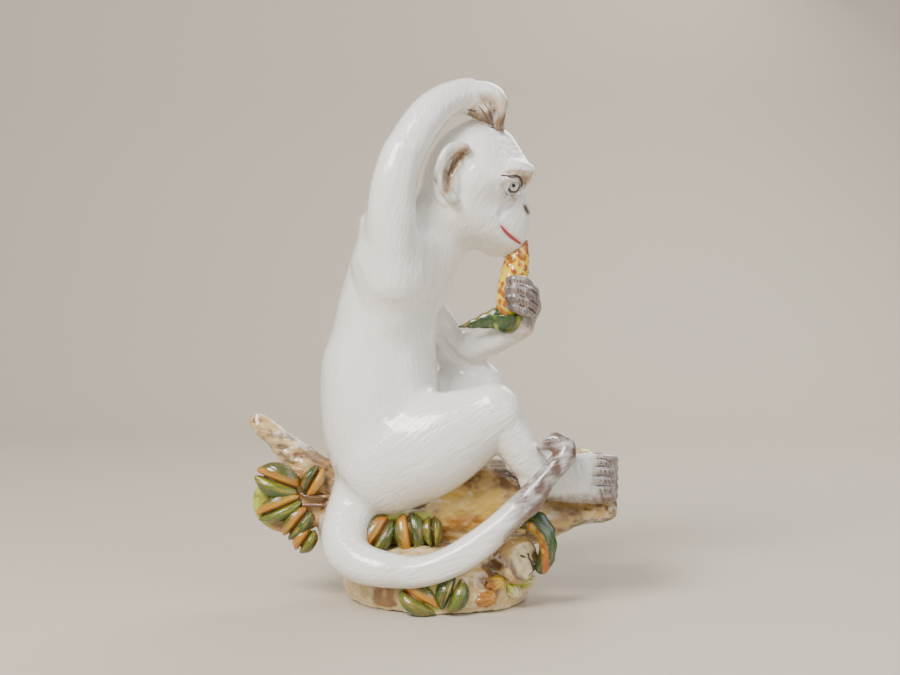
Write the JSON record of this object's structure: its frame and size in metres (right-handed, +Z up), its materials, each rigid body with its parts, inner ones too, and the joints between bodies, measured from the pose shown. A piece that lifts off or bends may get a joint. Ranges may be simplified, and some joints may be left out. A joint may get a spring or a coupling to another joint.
{
  "type": "monkey figurine",
  "caption": "Seated white monkey figurine on a painted log base, one arm curled over its head and a fruit held to its mouth, in glazed ceramic.",
  "frame": {"origin": "centre of the base's flat underside", "axes": "+Z up, +X the way the monkey faces, +Y the monkey's left"},
  "size_m": [0.2282, 0.1234, 0.3198],
  "materials": {
    "white_glaze": "glossy white tin glaze with soft hair relief, mauve-grey wash on the tail end and feet",
    "hand_glaze": "glossy glaze over a mauve-brown wash with dark strokes",
    "eye_glaze": "glossy glaze, painted iris and lid line",
    "bark_glaze": "glossy glaze over cream clay with ochre and brown washes",
    "rock_glaze": "glossy glaze over cream clay with brown washes, unglazed below",
    "leaf_glaze": "glossy glaze, dark green and orange-ochre brush strokes",
    "fruit_glaze": "glossy glaze, yellow with orange-brown spots"
  },
  "bodies": {
    "root": {"base_mound": "rock_glaze", "main_log": "bark_glaze", "log_knot": "bark_glaze", "stub_branch": "bark_glaze", "back_twig": "bark_glaze", "torso": "white_glaze", "head": "white_glaze", "right_eye": "eye_glaze", "left_eye": "eye_glaze", "right_ear": "white_glaze", "left_ear": "white_glaze", "raised_arm": "white_glaze", "raised_hand": "hand_glaze", "feeding_arm": "white_glaze", "feeding_hand": "hand_glaze", "fruit": "fruit_glaze", "fruit_calyx": "leaf_glaze", "fruit_leaf": "leaf_glaze", "right_leg": "white_glaze", "left_leg": "white_glaze", "right_foot": "white_glaze", "left_foot": "white_glaze", "tail": "white_glaze", "leaf_frond": "bark_glaze", "leaf_stems": "bark_glaze", "curled_leaf": "leaf_glaze", "rump_leaf_1": "leaf_glaze", "rump_leaf_2": "leaf_glaze", "rump_leaf_3": "leaf_glaze", "rump_leaf_4": "leaf_glaze", "rump_leaf_5": "leaf_glaze", "hip_leaf_1": "leaf_glaze", "hip_leaf_2": "leaf_glaze", "hip_leaf_3": "leaf_glaze", "base_leaf_1": "leaf_glaze", "base_leaf_2": "leaf_glaze", "base_bud_1": "leaf_glaze", "base_bud_2": "leaf_glaze", "base_bud_3": "leaf_glaze", "base_bud_4": "leaf_glaze"}
  },
  "joints": []
}
